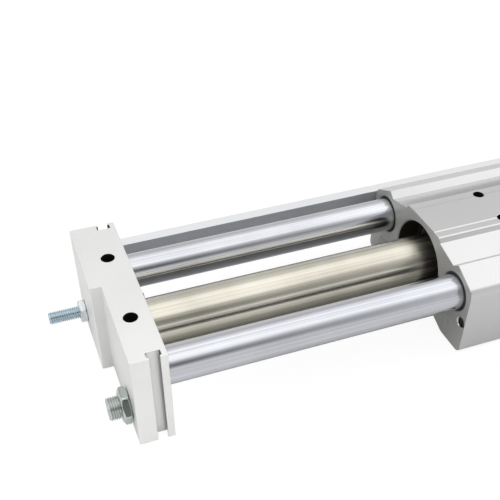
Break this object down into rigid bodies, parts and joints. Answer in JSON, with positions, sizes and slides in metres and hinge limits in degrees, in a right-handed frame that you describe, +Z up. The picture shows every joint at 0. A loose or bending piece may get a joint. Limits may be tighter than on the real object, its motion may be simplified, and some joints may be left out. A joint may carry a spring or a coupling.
{
  "type": "rodless pneumatic cylinder",
  "caption": "Magnetically coupled rodless air cylinder with a carriage on two guide rods, end plates with a shock absorber and an adjusting bolt, and a sensor rail.",
  "frame": {"origin": "middle of the pattern of the four base holes, on the underside of the end plates at mid length", "axes": "+X along the tube from the plate without ports to the one with ports, +Y towards the sensor rail, +Z up"},
  "size_m": [0.4494, 0.0955, 0.0464],
  "materials": {
    "plate_aluminium": "fine satin anodised, pale",
    "carriage_aluminium": "satin anodised extrusion with sawn end faces",
    "rail_aluminium": "satin anodised",
    "plain_aluminium": "turned",
    "chrome_rod": "hard chrome, ground",
    "stainless_tube": "drawn stainless, warm, lengthwise drawing lines",
    "zinc_absorber": "clear zinc plate, slightly green",
    "zinc_bolt": "blue zinc plate",
    "plain_steel": "plain steel",
    "spring_steel": "phosphated spring steel, dark",
    "black_rubber": "nitrile rubber",
    "urethane": "urethane",
    "dark_plastic": "moulded acetal",
    "magnet": "nickel-plated sintered magnet",
    "bush_bronze": "bronze-backed dry bush"
  },
  "bodies": {
    "frame": {"left_end_plate": "plate_aluminium", "right_end_plate": "plate_aluminium", "passage_plug": "plain_steel", "front_guide_rod": "chrome_rod", "rear_guide_rod": "chrome_rod", "cylinder_tube": "stainless_tube", "tube_seal_rings": "black_rubber", "tube_end_bumpers": "black_rubber", "left_absorber_body": "zinc_absorber", "left_absorber_nut": "zinc_absorber", "right_absorber_body": "zinc_absorber", "right_absorber_nut": "zinc_absorber", "left_bolt_nut": "zinc_bolt", "right_bolt_nut": "zinc_bolt", "sensor_rail": "rail_aluminium", "rail_screws": "plain_steel", "rail_nuts": "plain_steel"},
    "carriage": {"carriage_body": "carriage_aluminium", "strike_screws": "plain_steel", "sensor_magnets": "magnet", "sensor_magnet_plugs": "plain_steel", "front_rod_bushes": "bush_bronze", "rear_rod_bushes": "bush_bronze", "front_rod_wipers": "black_rubber", "rear_rod_wipers": "black_rubber", "slider_sleeve": "plain_aluminium", "outer_magnets": "magnet", "outer_yokes": "plain_steel", "slider_wear_rings": "dark_plastic", "slider_scrapers": "black_rubber", "slider_snap_rings": "spring_steel", "carriage_clips": "spring_steel"},
    "magnet_piston": {"piston_shaft": "plain_steel", "inner_magnets": "magnet", "inner_yokes": "plain_steel", "pistons": "plain_aluminium", "piston_seals": "black_rubber", "piston_wear_bands": "dark_plastic", "piston_nuts": "plain_steel"},
    "left_absorber_plunger": {"left_absorber_rod": "plain_steel"},
    "left_stop_bolt": {"left_adjusting_bolt": "zinc_bolt", "left_bolt_bumper": "urethane"},
    "right_absorber_plunger": {"right_absorber_rod": "plain_steel"},
    "right_stop_bolt": {"right_adjusting_bolt": "zinc_bolt", "right_bolt_bumper": "urethane"}
  },
  "joints": [
    {"name": "carriage_slide", "type": "slide", "parent": "frame", "child": "carriage", "axis": [1, 0, 0], "range_m": [-0.1197, 0.1197]},
    {"name": "piston_slide", "type": "slide", "parent": "frame", "child": "magnet_piston", "axis": [1, 0, 0], "range_m": [-0.1197, 0.1197]},
    {"name": "left_absorber_stroke", "type": "slide", "parent": "frame", "child": "left_absorber_plunger", "axis": [1, 0, 0], "range_m": [0, 0.006]},
    {"name": "left_bolt_adjust", "type": "slide", "parent": "frame", "child": "left_stop_bolt", "axis": [1, 0, 0], "range_m": [-0.005, 0.005]},
    {"name": "right_absorber_stroke", "type": "slide", "parent": "frame", "child": "right_absorber_plunger", "axis": [-1, 0, 0], "range_m": [0, 0.006]},
    {"name": "right_bolt_adjust", "type": "slide", "parent": "frame", "child": "right_stop_bolt", "axis": [-1, 0, 0], "range_m": [-0.005, 0.005]}
  ],
  "couplings": [
    {"joint": "piston_slide", "follows": "carriage_slide", "ratio": 1}
  ]
}
